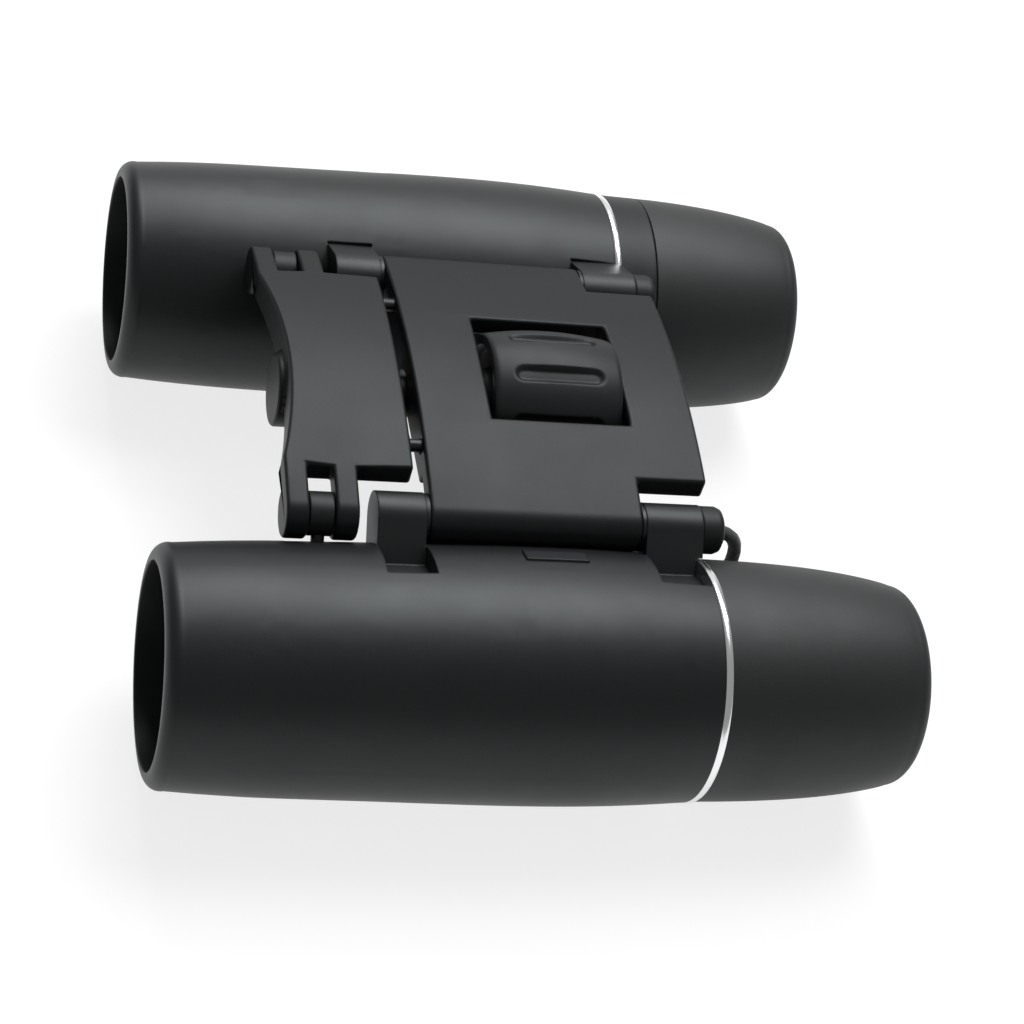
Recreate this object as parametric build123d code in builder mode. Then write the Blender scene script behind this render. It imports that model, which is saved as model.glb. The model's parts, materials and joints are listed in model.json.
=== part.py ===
"""Compact folding binoculars: two barrels hinged to a bridge, with centre focus and a wrist strap.

Frame: +X to the user's right, +Y towards the objectives, +Z up. The origin lies on the resting surface, midway
between the barrels and midway along them. Millimetres.
"""
import os
from math import asin, atan2, cos, degrees, hypot, pi, radians, sin, sqrt, tan

from build123d import *

os.makedirs("parts", exist_ok=True)

# ---- overall ----
FRONT_Y = 46.0  # objective end of the barrels
REAR_Y = -46.0  # eyecup end
RUN_GAP = 0.05  # radial clearance of a running fit
SLIDE_GAP = 0.08  # radial clearance of a long sliding fit
FACE_GAP = 0.3  # clearance between faces that pass each other

# ---- radii, from the ocular tube outwards ----
TUBE_R = 11.0
TUBE_BORE_R = TUBE_R - 2.7
STOP_R = TUBE_BORE_R - 1.1
OPENING_R = TUBE_BORE_R + 0.5
SPIGOT_R = TUBE_R + 1.9  # the dioptre ring turns on it
CUP_WALL = 1.52
CUP_R = SPIGOT_R + SLIDE_GAP + CUP_WALL  # outside of an eyecup at its front
SHELL_REAR_R = CUP_R + 0.22
RING_R = SHELL_REAR_R + 0.1
BARREL_R = SHELL_REAR_R + 0.68  # largest barrel radius
SHELL_WALL = 2.12
CHAMBER_R = SHELL_REAR_R - SHELL_WALL  # prism chamber
PLUG_R = CHAMBER_R - RUN_GAP
MOUTH_R = BARREL_R - 2.7
CAP_BORE_R, CAP_DEPTH = MOUTH_R - 0.6, 8.0  # recess at the mouth, for a lens cap
BORE_R = CAP_BORE_R - 0.3  # objective bore
CELL_R = BORE_R - SLIDE_GAP
LENS_R = CELL_R - 0.77
CELL_CLEAR_R = LENS_R - 0.95

# ---- hinge lines and barrel axes ----
HINGE_X = 21.05
AXIS_X = HINGE_X + BARREL_R - 2.35  # barrel axis at rest
AXIS_Z = BARREL_R
HINGE_Z = AXIS_Z + BARREL_R - 2.85
KNUCKLE_R = 3.0
LUG_R = 3.0
PIN_R = 1.4
RELIEF_R = KNUCKLE_R + FACE_GAP  # channel in each barrel, round its hinge line
KNUCKLE_FRONT, KNUCKLE_REAR = 14.43, -11.6
WASHER_T = 0.4
WASHER_GAP = 0.03
LUG_FRONT = (20.7, KNUCKLE_FRONT + WASHER_T + 2 * WASHER_GAP)
LUG_REAR = (KNUCKLE_REAR - WASHER_T - 2 * WASHER_GAP, -19.2)
LUG_SLOPE = {-1: 45.0, 1: 27.0}  # fall of a lug's outer face on each side, in degrees
POCKET_EDGE = {-1: 8.0, 1: 27.0}  # outer edge of a lug's pocket, in degrees round the barrel from its top
POCKET_R = BARREL_R - 2.5  # pocket floor, from the barrel axis
PIN_FRONT, PIN_REAR = 20.0, -16.8
CAP_R, CAP_SPIGOT_R, CAP_POCKET_R, CAP_REAR = 2.9, 2.2, 1.5, -22.2
STRAP_HOLE_R = 0.98

# ---- crowned plates ----
CROWN_Z = HINGE_Z + 5.65
PLATE_T = 2.7
PLATE_REAR = -20.4
INNER_HALF = HINGE_X - KNUCKLE_R - 1.15  # half width of the plates between the lugs
CROWN_H = CROWN_Z - HINGE_Z
CROWN_R = (HINGE_X**2 + CROWN_H**2 - KNUCKLE_R**2) / (2 * (CROWN_H - KNUCKLE_R))
CROWN_CZ = CROWN_Z - CROWN_R
TANGENT_X = HINGE_X * CROWN_R / (CROWN_R - KNUCKLE_R)  # where the crown meets the knuckle's round
WINDOW_HALF, WINDOW_FRONT, WINDOW_REAR = 8.8, 5.44, -11.97

# ---- focus drive ----
WHEEL_Z = HINGE_Z - 0.55
WHEEL_R, WHEEL_END_R = 9.1, 8.35
WHEEL_FRONT, WHEEL_REAR = 4.6, -11.6
WHEEL_GROOVES = 9
GROOVE_LEN, GROOVE_W, GROOVE_DEPTH = 11.5, 2.4, 0.8
SHAFT_R, THREAD_R = 2.0, 2.5
BUSH_R = 3.0
WALL_T, WALL_HALF, WALL_BOTTOM = 3.5, 5.6, WHEEL_Z - 4.5
SHAFT_REAR = WINDOW_REAR - WALL_T - 1.5
THREAD_FRONT = 26.4
ROD_X, ROD_Z, ROD_R = 12.4, HINGE_Z + 3.3, 0.8
ROD_REAR, ROD_FRONT = 4.0, 25.4

# ---- focus carriage ----
CARRIAGE_REAR = 16.0
FORK_B = (25.6, 22.8)
FORK_A = (31.4, 28.7)
FRONT_DIP_Y, FRONT_DIP_R = 29.45, 65.0  # hollow curve of the front edge
RIM_T, RIM_BOTTOM = 1.6, CROWN_Z - 5.3
BOSS_R, BOSS_FRONT = 4.5, 30.4
NUT_R, NUT_FRONT = 3.6, 28.2
CLEVIS_PIN_R = 1.2
LINK_R, LINK_GAP = 2.6, 0.15

# ---- barrels ----
CHAMBER_FRONT = 12.5
WIDEST_Y = 0.0
SHELL_REAR = -18.45
RING_REAR = SHELL_REAR - 0.85
RING_COVER_GAP = 0.15  # between the trim ring and the rear lug that reaches over it
SEAM_Y = -24.3  # rear face of the right collar
PLUG_FRONT = -14.0
TUBE_REAR = -42.5
STOP_FRONT, STOP_REAR = -19.0, -21.5
CUP_BACK = REAR_Y + 1.8  # inner shoulder of the eyecup

# ---- objective ----
CELL_FRONT, CELL_REAR = 34.5, 22.5
LENS_SEAT_Y = 28.57
CROWN_BULGE, CEMENT_BULGE = 45.0, 32.0  # surface radii of the cemented pair
STUD_Y, STUD_R = (FORK_A[1] + FORK_B[0]) / 2, 0.8
TRAVEL_IN, TRAVEL_OUT = 1.0, 2.6  # focus travel each way from rest

# ---- prisms ----
PRISM_HALF_W = CHAMBER_R - 6.2
CAGE_R = CHAMBER_R - 0.05
CAGE_FRONT, CAGE_REAR = 10.4, -11.4
CAGE_IN_FRONT, CAGE_IN_REAR = 7.6, -8.8
LIGHT_R = CHAMBER_R - 6.0
PRISM_GAP = 0.45  # between the two prisms, measured along the axis

# ---- strap ----
CORD_R = 0.85
HANK_FRONT, HANK_REAR = 10.0, -17.0

HINGE_REACH = hypot(AXIS_X - HINGE_X, HINGE_Z - AXIS_Z)
HINGE_TILT = degrees(atan2(AXIS_X - HINGE_X, HINGE_Z - AXIS_Z))
print(f"hinge to barrel axis {HINGE_REACH:.2f}, tilt {HINGE_TILT:.1f} deg, crown radius {CROWN_R:.1f}")


def save(part, name):
    """Label a finished piece and write it."""
    part.label = name
    export_step(part, f"parts/{name}.step")


def across(y):
    """Sketch plane facing back from station y, with X and Z as its axes."""
    return Plane.XZ.offset(-y)


def bar(x, z, r, y_rear, y_front, mode=Mode.ADD):
    """Round bar along Y in the open part."""
    with Locations(Location((x, (y_rear + y_front) / 2, z), (90, 0, 0))):
        Cylinder(r, y_front - y_rear, mode=mode)


def turned(x, z, points):
    """Piece turned about the line along Y through (x, z), from (radius, y) points."""
    with BuildPart() as piece:
        with BuildSketch(Plane(origin=(x, 0, z))):
            with BuildLine():
                Polyline(*points, close=True)
            make_face()
        revolve(axis=Axis((x, 0, z), (0, 1, 0)))
    return piece.part


def sag(r, radius):
    """Depth of a spherical surface at radius r."""
    return radius - sqrt(radius**2 - r**2)


def lens(x, z, rim_r, front_y, front_bulge, rear_y, rear_bulge):
    """Lens about the line through (x, z). A bulge is a surface radius: positive bows outwards, 0 is flat."""

    def surface(vertex, bulge, r, outward):
        return vertex if bulge == 0 else vertex - outward * (1 if bulge > 0 else -1) * sag(r, abs(bulge))

    front = [(r, surface(front_y, front_bulge, r, 1)) for r in (0, rim_r / 2, rim_r)]
    rear = [(r, surface(rear_y, rear_bulge, r, -1)) for r in (rim_r, rim_r / 2, 0)]
    with BuildPart() as glass:
        with BuildSketch(Plane(origin=(x, 0, z))):
            with BuildLine():
                for arc in (front, rear):
                    if arc[0][1] == arc[2][1]:
                        Line(arc[0], arc[2])
                    else:
                        ThreePointArc(*arc)
                Line(front[2], rear[0])
                Line(rear[2], front[0])
            make_face()
        revolve(axis=Axis((x, 0, z), (0, 1, 0)))
    return glass.part


def crown_face(half):
    """Crowned plate section between -half and half, in the open sketch."""
    top = CROWN_CZ + sqrt(CROWN_R**2 - half**2)
    low = CROWN_CZ + sqrt((CROWN_R - PLATE_T) ** 2 - half**2)
    with BuildLine() as section:
        ThreePointArc((-half, top), (0, CROWN_Z), (half, top))
        Line((half, top), (half, low))
        ThreePointArc((half, low), (0, CROWN_Z - PLATE_T), (-half, low))
        Line((-half, low), (-half, top))
    make_face(section.edges())


def hinge_rounds(r):
    """A disc on each hinge line, in the open sketch."""
    with Locations((-HINGE_X, HINGE_Z), (HINGE_X, HINGE_Z)):
        Circle(r)


# ---- bridge plate: knuckles, window, shaft walls ----
with BuildPart() as bridge_plate:
    with BuildSketch(across(KNUCKLE_FRONT)):
        crown_face(TANGENT_X)
        hinge_rounds(KNUCKLE_R)
    extrude(amount=KNUCKLE_FRONT - KNUCKLE_REAR)
    with BuildSketch(across(KNUCKLE_REAR)):
        crown_face(INNER_HALF)
    extrude(amount=KNUCKLE_REAR - PLATE_REAR)
    for wall_front in (WINDOW_FRONT + WALL_T, WINDOW_REAR):
        with BuildSketch(across(wall_front)):
            with Locations((0, (WALL_BOTTOM + CROWN_Z - 1) / 2)):
                Rectangle(2 * WALL_HALF, CROWN_Z - 1 - WALL_BOTTOM)
        extrude(amount=WALL_T)
    with BuildSketch(across(KNUCKLE_FRONT)):
        with Locations((0, (RIM_BOTTOM + CROWN_Z - 2.4) / 2)):
            Rectangle(2 * INNER_HALF - 2, CROWN_Z - 2.4 - RIM_BOTTOM)
        with Locations((0, WHEEL_Z)):
            Circle(BUSH_R, mode=Mode.SUBTRACT)
    extrude(amount=RIM_T)
    with Locations((0, (WINDOW_FRONT + WINDOW_REAR) / 2, CROWN_Z)):
        Box(2 * WINDOW_HALF, WINDOW_FRONT - WINDOW_REAR, 4 * PLATE_T, mode=Mode.SUBTRACT)
    bar(0, WHEEL_Z, BUSH_R, WINDOW_REAR - WALL_T, WINDOW_FRONT + WALL_T, Mode.SUBTRACT)
    for side in (-1, 1):
        bar(side * HINGE_X, HINGE_Z, PIN_R + RUN_GAP, KNUCKLE_REAR, KNUCKLE_FRONT, Mode.SUBTRACT)
        bar(side * ROD_X, ROD_Z, ROD_R, ROD_REAR, KNUCKLE_FRONT, Mode.SUBTRACT)
save(bridge_plate.part, "bridge_plate")

with BuildPart() as guide_rods:
    for side in (-1, 1):
        bar(side * ROD_X, ROD_Z, ROD_R, ROD_REAR, ROD_FRONT)
save(guide_rods.part, "guide_rods")

with BuildPart() as shaft_bushes:
    for wall_rear in (WINDOW_FRONT, WINDOW_REAR - WALL_T):
        bar(0, WHEEL_Z, BUSH_R, wall_rear, wall_rear + WALL_T)
        bar(0, WHEEL_Z, SHAFT_R + RUN_GAP, wall_rear, wall_rear + WALL_T, Mode.SUBTRACT)
save(shaft_bushes.part, "shaft_bushes")

with BuildPart() as hinge_washers:
    for side in (-1, 1):
        for rear in (KNUCKLE_FRONT + WASHER_GAP, KNUCKLE_REAR - WASHER_GAP - WASHER_T):
            bar(side * HINGE_X, HINGE_Z, KNUCKLE_R - 0.1, rear, rear + WASHER_T)
            bar(side * HINGE_X, HINGE_Z, PIN_R + RUN_GAP, rear, rear + WASHER_T, Mode.SUBTRACT)
save(hinge_washers.part, "hinge_washers")

# ---- focus wheel and its screw ----
WHEEL_MID = (WHEEL_FRONT + WHEEL_REAR) / 2
with BuildPart() as focus_wheel:
    with BuildSketch(Plane(origin=(0, 0, WHEEL_Z))):
        with BuildLine():
            Polyline(
                (WHEEL_END_R, WHEEL_FRONT), (7.0, WHEEL_FRONT), (6.6, WHEEL_FRONT - 1.2), (4.2, WHEEL_FRONT - 1.2),
                (3.9, WHEEL_FRONT), (SHAFT_R, WHEEL_FRONT), (SHAFT_R, WHEEL_REAR), (3.9, WHEEL_REAR),
                (4.2, WHEEL_REAR + 1.2), (6.6, WHEEL_REAR + 1.2), (7.0, WHEEL_REAR), (WHEEL_END_R, WHEEL_REAR),
            )
            ThreePointArc((WHEEL_END_R, WHEEL_REAR), (WHEEL_R, WHEEL_MID), (WHEEL_END_R, WHEEL_FRONT))
        make_face()
    revolve(axis=Axis((0, 0, WHEEL_Z), (0, 1, 0)))
    for k in range(WHEEL_GROOVES):
        turn = 18 + 360 / WHEEL_GROOVES * k
        out = Vector(sin(radians(turn)), 0, cos(radians(turn)))
        foot = Vector(0, WHEEL_MID, WHEEL_Z) + out * (WHEEL_R - GROOVE_DEPTH)
        with BuildSketch(Plane(origin=foot, x_dir=(0, 1, 0), z_dir=out)):
            RectangleRounded(GROOVE_LEN - 1, GROOVE_W - 1, 0.4)
        extrude(amount=2, taper=-32, mode=Mode.SUBTRACT)
    grub_turn = radians(18 + 360 / WHEEL_GROOVES * 4)
    with Locations(Location((0, WHEEL_MID, WHEEL_Z), (0, degrees(grub_turn), 0))):
        Cylinder(1.0, 12, align=(Align.CENTER, Align.CENTER, Align.MIN), mode=Mode.SUBTRACT)
save(focus_wheel.part, "focus_wheel")

with BuildPart() as wheel_grub_screw:
    with Locations(Location((0, WHEEL_MID, WHEEL_Z), (0, degrees(grub_turn), 0))):
        with Locations((0, 0, SHAFT_R)):
            Cylinder(1.0, 5.2, align=(Align.CENTER, Align.CENTER, Align.MIN))
        with Locations((0, 0, SHAFT_R + 4.2)):
            Cylinder(0.45, 1.2, align=(Align.CENTER, Align.CENTER, Align.MIN), mode=Mode.SUBTRACT)
save(wheel_grub_screw.part, "wheel_grub_screw")

RING_FRONT = WINDOW_REAR - WALL_T - 0.1
focus_screw = turned(0, WHEEL_Z, [
    (0, SHAFT_REAR), (SHAFT_R - 0.3, SHAFT_REAR), (SHAFT_R, SHAFT_REAR + 0.3), (SHAFT_R, RING_FRONT - 0.5),
    (1.5, RING_FRONT - 0.5), (1.5, RING_FRONT), (SHAFT_R, RING_FRONT), (SHAFT_R, WINDOW_FRONT + WALL_T + 0.1),
    (THREAD_R, WINDOW_FRONT + WALL_T + 0.1), (THREAD_R, THREAD_FRONT - 0.5), (THREAD_R - 0.5, THREAD_FRONT),
    (0, THREAD_FRONT),
])
save(focus_screw, "focus_screw")

with BuildPart() as shaft_retaining_ring:
    bar(0, WHEEL_Z, 3.1, RING_FRONT - 0.45, RING_FRONT - 0.05)
    bar(0, WHEEL_Z, 1.5, RING_FRONT - 0.45, RING_FRONT - 0.05, Mode.SUBTRACT)
    with Locations((0, RING_FRONT - 0.25, WHEEL_Z - 2.5)):
        Box(2.2, 1, 5, mode=Mode.SUBTRACT)
save(shaft_retaining_ring.part, "shaft_retaining_ring")

with BuildPart() as wheel_thrust_washer:
    bar(0, WHEEL_Z, 3.8, WHEEL_FRONT, WINDOW_FRONT - 0.05)
    bar(0, WHEEL_Z, SHAFT_R, WHEEL_FRONT, WINDOW_FRONT - 0.05, Mode.SUBTRACT)
save(wheel_thrust_washer.part, "wheel_thrust_washer")

# ---- focus carriage: front plate with a fork on each hinge line ----
with BuildPart() as focus_carriage:
    with BuildSketch(across(FORK_A[0])):
        crown_face(TANGENT_X)
        hinge_rounds(KNUCKLE_R)
    extrude(amount=FORK_A[0] - FORK_B[1])
    with BuildSketch(across(FORK_B[1])):
        crown_face(INNER_HALF)
    extrude(amount=FORK_B[1] - CARRIAGE_REAR)
    with BuildSketch(Plane.XY.offset(RIM_BOTTOM)):
        with Locations((0, FRONT_DIP_Y + FRONT_DIP_R)):
            Circle(FRONT_DIP_R + RIM_T)
        with Locations((0, (CARRIAGE_REAR + FORK_A[0]) / 2)):
            Rectangle(2 * INNER_HALF - 2, FORK_A[0] - CARRIAGE_REAR, mode=Mode.INTERSECT)
    extrude(amount=CROWN_Z - 2.4 - RIM_BOTTOM)
    with Locations((0, FRONT_DIP_Y + FRONT_DIP_R, CROWN_Z)):
        Cylinder(FRONT_DIP_R, 4 * (CROWN_Z - RIM_BOTTOM), mode=Mode.SUBTRACT)
    bar(0, WHEEL_Z, BOSS_R, CARRIAGE_REAR, BOSS_FRONT)
    for side in (-1, 1):
        with Locations((side * (INNER_HALF + 5), (FORK_A[1] + FORK_B[0]) / 2, HINGE_Z + 2)):
            Box(10, FORK_A[1] - FORK_B[0], 14, mode=Mode.SUBTRACT)
        bar(side * ROD_X, ROD_Z, ROD_R + RUN_GAP, CARRIAGE_REAR, ROD_FRONT + 2.2, Mode.SUBTRACT)
        bar(side * HINGE_X, HINGE_Z, CLEVIS_PIN_R, FORK_B[1], FORK_A[0] - 1.2, Mode.SUBTRACT)
    bar(0, WHEEL_Z, NUT_R, CARRIAGE_REAR, NUT_FRONT, Mode.SUBTRACT)
save(focus_carriage.part, "focus_carriage")

with BuildPart() as focus_nut:
    bar(0, WHEEL_Z, NUT_R, CARRIAGE_REAR + 0.3, NUT_FRONT)
    bar(0, WHEEL_Z, THREAD_R + RUN_GAP, CARRIAGE_REAR + 0.3, NUT_FRONT, Mode.SUBTRACT)
save(focus_nut.part, "focus_nut")

with BuildPart() as clevis_pins:
    for side in (-1, 1):
        bar(side * HINGE_X, HINGE_Z, CLEVIS_PIN_R, FORK_B[1] + 0.1, FORK_A[0] - 1.2)
save(clevis_pins.part, "clevis_pins")


# ---- barrels ----
def barrel_outline():
    """Outer line of a barrel shell from its mouth to its rear face, as (radius, y), in the open line."""
    round_end = ThreePointArc(
        (MOUTH_R, FRONT_Y), (MOUTH_R + 1.05, FRONT_Y - 0.55), (MOUTH_R + 1.45, FRONT_Y - 2.0)
    )
    Spline(
        round_end @ 1, (BARREL_R - 0.75, FRONT_Y - 10), (BARREL_R - 0.38, FRONT_Y - 25), (BARREL_R, WIDEST_Y),
        tangents=((0.08, -1), (0, -1)),
    )
    Spline(
        (BARREL_R, WIDEST_Y), (BARREL_R - 0.28, SHELL_REAR + 6.4), (SHELL_REAR_R, SHELL_REAR),
        tangents=((0, -1), (-0.07, -1)),
    )


def round_barrel(r, turn):
    """Point at radius r from the barrel axis, turned inboard from its top, as (outward, up) from the hinge line."""
    return AXIS_X - HINGE_X - r * sin(radians(turn)), AXIS_Z - HINGE_Z + r * cos(radians(turn))


def lug_sections(side):
    """Section of a lug and of the pocket above its outer face, as (outward, up) from the hinge line."""
    slope = radians(LUG_SLOPE[side])
    tangent = (LUG_R * sin(slope), LUG_R * cos(slope))
    edge = POCKET_EDGE[side]
    wall = round_barrel(POCKET_R, edge)
    if wall[1] < tangent[1] - (wall[0] - tangent[0]) * tan(slope):
        foot_a = round_barrel(BARREL_R, edge)[0]
        floor = [(foot_a, tangent[1] - (foot_a - tangent[0]) * tan(slope))]
    else:
        centre = round_barrel(0, 0)
        gap = (centre[0] - tangent[0], centre[1] - tangent[1])
        along = gap[0] * cos(slope) - gap[1] * sin(slope)
        reach = along - sqrt(along**2 - gap[0] ** 2 - gap[1] ** 2 + POCKET_R**2)
        foot = (tangent[0] + reach * cos(slope), tangent[1] - reach * sin(slope))
        start = degrees(atan2(centre[0] - foot[0], foot[1] - centre[1]))
        floor = [foot] + [round_barrel(POCKET_R, start + (edge - start) * k / 6) for k in range(1, 7)]
    tilt = radians(HINGE_TILT)
    inner = (-LUG_R * cos(tilt), -LUG_R * sin(tilt))
    root = (inner[0] + 8 * sin(tilt), inner[1] - 8 * cos(tilt))
    lug = [tangent, floor[0], (floor[0][0], root[1]), root, inner]
    pocket = [tangent, *floor, round_barrel(BARREL_R + 2, edge), (tangent[0], tangent[1] + 6)]
    return lug, pocket


def barrel_shell(side):
    x, hx = side * AXIS_X, side * HINGE_X
    lug, pocket = lug_sections(side)
    with BuildPart() as shell:
        with BuildSketch(Plane(origin=(x, 0, AXIS_Z))):
            with BuildLine():
                barrel_outline()
                Polyline((SHELL_REAR_R, SHELL_REAR), (0, SHELL_REAR), (0, FRONT_Y), (MOUTH_R, FRONT_Y))
            make_face()
        revolve(axis=Axis((x, 0, AXIS_Z), (0, 1, 0)))
        bar(hx, HINGE_Z, RELIEF_R, SHELL_REAR - 2, FORK_A[0] + TRAVEL_OUT + 1, Mode.SUBTRACT)
        for (y_front, y_rear), pocket_rear in ((LUG_FRONT, LUG_FRONT[1]), (LUG_REAR, SHELL_REAR)):
            with BuildSketch(across(y_front)):
                with BuildLine():
                    Polyline(*[(hx + side * a, HINGE_Z + b) for a, b in lug], close=True)
                make_face()
                with Locations((hx, HINGE_Z)):
                    Circle(LUG_R)
            extrude(amount=y_front - y_rear)
            with BuildSketch(across(y_front)):
                with BuildLine():
                    Polyline(*[(hx + side * a, HINGE_Z + b) for a, b in pocket], close=True)
                make_face()
            extrude(amount=y_front - pocket_rear, mode=Mode.SUBTRACT)
        bar(x, AXIS_Z, CHAMBER_R, SHELL_REAR - 1, CHAMBER_FRONT, Mode.SUBTRACT)
        bar(x, AXIS_Z, BORE_R, CHAMBER_FRONT, FRONT_Y, Mode.SUBTRACT)
        bar(x, AXIS_Z, CAP_BORE_R, FRONT_Y - CAP_DEPTH, FRONT_Y, Mode.SUBTRACT)
        bar(hx, HINGE_Z, PIN_R, PIN_REAR, PIN_FRONT, Mode.SUBTRACT)
        bar(hx, HINGE_Z, CAP_SPIGOT_R, LUG_REAR[1] - 1, PIN_REAR, Mode.SUBTRACT)
        slot_y = STUD_Y + (TRAVEL_OUT - TRAVEL_IN) / 2
        with Locations(Location((x, slot_y, AXIS_Z), (0, -side * HINGE_TILT, 0))):
            with Locations((0, 0, BARREL_R - 1)):
                Box(2 * STUD_R + 0.8, TRAVEL_IN + TRAVEL_OUT + 2 * STUD_R + 1.2, 8, mode=Mode.SUBTRACT)
        if side < 0:
            with Locations(Location((x, 0, AXIS_Z), (0, -side * 24, 0))):
                with Locations((0, 0, BARREL_R + 1 - 0.6)):
                    Box(2.4, 7.6, 2, mode=Mode.SUBTRACT)
        bar(x, AXIS_Z, RING_R + RING_COVER_GAP, SHELL_REAR - 2, SHELL_REAR, Mode.SUBTRACT)
    return shell.part


def adjuster_cover(side):
    with BuildPart() as cover:
        with Locations(Location((side * AXIS_X, 0, AXIS_Z), (0, -side * 24, 0))):
            with Locations((0, 0, BARREL_R - 0.2)):
                Box(2.4, 7.6, 0.8)
    return cover.part


def hinge_cap(side):
    return turned(side * HINGE_X, HINGE_Z, [
        (CAP_POCKET_R, PIN_REAR - 0.1), (CAP_SPIGOT_R, PIN_REAR - 0.1), (CAP_SPIGOT_R, LUG_REAR[1]),
        (CAP_R, LUG_REAR[1]), (CAP_R, CAP_REAR + 0.9), (CAP_R - 0.25, CAP_REAR + 0.3), (CAP_R - 0.8, CAP_REAR),
        (STRAP_HOLE_R, CAP_REAR), (STRAP_HOLE_R, CAP_REAR + 1.3), (CAP_POCKET_R, CAP_REAR + 1.3),
    ])


# Prism sections as (y, height above the axis); the air gap between the two runs at 45 degrees.
GAP_OUT, GAP_IN = -PRISM_GAP + 0.1, 0.1  # height of each slanted face over the 45 degree line through the axis
PENTA_LOW, PENTA_REAR, ROOF_FRONT = 3.3 - CHAMBER_R, -3.5, 6.3
HALF_PENTA = [
    (CAGE_IN_FRONT, CAGE_IN_FRONT + GAP_OUT), (CAGE_IN_FRONT, -PRISM_HALF_W), (0.5, PENTA_LOW),
    (PENTA_REAR, PENTA_LOW), (PENTA_REAR, PENTA_REAR + GAP_OUT),
]
CLIP_LEN, CLIP_W, CLIP_T, CLIP_Y, CLIP_GAP = 2 * PRISM_HALF_W + 1, 3.0, 0.3, -6.6, 0.2
ROOF_TOP = sqrt((CHAMBER_R - CLIP_GAP) ** 2 - (CLIP_LEN / 2) ** 2) - CLIP_T
ROOF = [
    (CAGE_IN_REAR, CAGE_IN_REAR + GAP_IN), (ROOF_FRONT, ROOF_FRONT + GAP_IN), (PENTA_REAR + 0.1, ROOF_TOP),
    (CAGE_IN_REAR, ROOF_TOP),
]


def prism(side, section):
    x = side * AXIS_X - PRISM_HALF_W
    with BuildPart() as glass:
        with BuildSketch(Plane(origin=(x, 0, AXIS_Z), x_dir=(0, 1, 0), z_dir=(1, 0, 0))):
            with BuildLine():
                Polyline(*section, close=True)
            make_face()
        extrude(amount=2 * PRISM_HALF_W)
    return glass.part


def roof_prism(side):
    (y0, z0), (y1, z1) = ROOF[1], (CAGE_IN_REAR, ROOF[1][1] + (ROOF[1][0] - CAGE_IN_REAR) * tan(radians(22.5)))
    ridge = Vector(0, y1 - y0, z1 - z0).normalized()
    up = Vector(0, -ridge.Z, ridge.Y) * -1
    start = Vector(side * AXIS_X, y0, AXIS_Z + z0)
    with BuildPart() as glass:
        add(prism(side, ROOF))
        for lean in (-1, 1):
            face = (Vector(lean, 0, 0) + up).normalized()
            with BuildSketch(Plane(origin=start, x_dir=ridge, z_dir=face)):
                Rectangle(80, 80)
            extrude(amount=15, mode=Mode.SUBTRACT)
    return glass.part


def prism_cage(side):
    x = side * AXIS_X
    with BuildPart() as cage:
        bar(x, AXIS_Z, CAGE_R, CAGE_REAR, CAGE_FRONT)
        with Locations((x, (CAGE_IN_FRONT + CAGE_IN_REAR) / 2, AXIS_Z)):
            Box(2 * PRISM_HALF_W, CAGE_IN_FRONT - CAGE_IN_REAR, 30, mode=Mode.SUBTRACT)
        bar(x, AXIS_Z, LIGHT_R, CAGE_REAR, CAGE_FRONT, Mode.SUBTRACT)
        with Locations((x, CLIP_Y, AXIS_Z + ROOF_TOP + CHAMBER_R / 2)):
            Box(2 * CHAMBER_R, CLIP_W + 0.1, CHAMBER_R, mode=Mode.SUBTRACT)
    return cage.part


def prism_clip(side):
    with BuildPart() as clip:
        with Locations((side * AXIS_X, CLIP_Y, AXIS_Z + ROOF_TOP + CLIP_T / 2)):
            Box(CLIP_LEN, CLIP_W, CLIP_T)
    return clip.part


def trim_ring(side):
    return turned(side * AXIS_X, AXIS_Z, [
        (CHAMBER_R, SHELL_REAR), (RING_R - 0.12, SHELL_REAR), (RING_R, SHELL_REAR - 0.2),
        (RING_R, RING_REAR + 0.2), (RING_R - 0.12, RING_REAR), (CHAMBER_R, RING_REAR),
    ])


TUBE_BORE = [(STOP_R, STOP_FRONT), (STOP_R, STOP_REAR), (TUBE_BORE_R, STOP_REAR), (TUBE_BORE_R, TUBE_REAR)]


def eyecup(side, front_y, front_inner):
    """Eyecup sleeve from front_y back; front_inner lists the (radius, y) steps of its bore."""
    x = side * AXIS_X
    with BuildPart() as cup:
        with BuildSketch(Plane(origin=(x, 0, AXIS_Z))):
            with BuildLine():
                outer = Spline(
                    (cup_radius(front_y), front_y), (CUP_R - 0.5, REAR_Y + 12), (CUP_R - 1.5, REAR_Y + 4.5),
                    (CUP_R - 2.15, CUP_BACK),
                    tangents=((-0.01, -1), (-0.35, -1)),
                )
                ThreePointArc(outer @ 1, (CUP_R - 2.75, REAR_Y + 0.55), (CUP_R - 4, REAR_Y))
                Polyline(
                    (CUP_R - 4, REAR_Y), (OPENING_R + 0.8, REAR_Y), (OPENING_R, REAR_Y + 0.9),
                    (OPENING_R, CUP_BACK), *front_inner, (cup_radius(front_y), front_y),
                )
            make_face()
        revolve(axis=Axis((x, 0, AXIS_Z), (0, 1, 0)))
    return cup.part


def cup_radius(y):
    """Outer radius just behind the trim ring."""
    return CUP_R + 0.12 if y > SEAM_Y + 1 else CUP_R


FIELD_EDGE, FIELD_BULGE = 1.5, 16.0
EYE_FRONT, EYE_BULGE, EYE_REAR, EYE_REAR_BULGE = TUBE_REAR + 6.3, 14.0, TUBE_REAR + 1, 30.0


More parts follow.
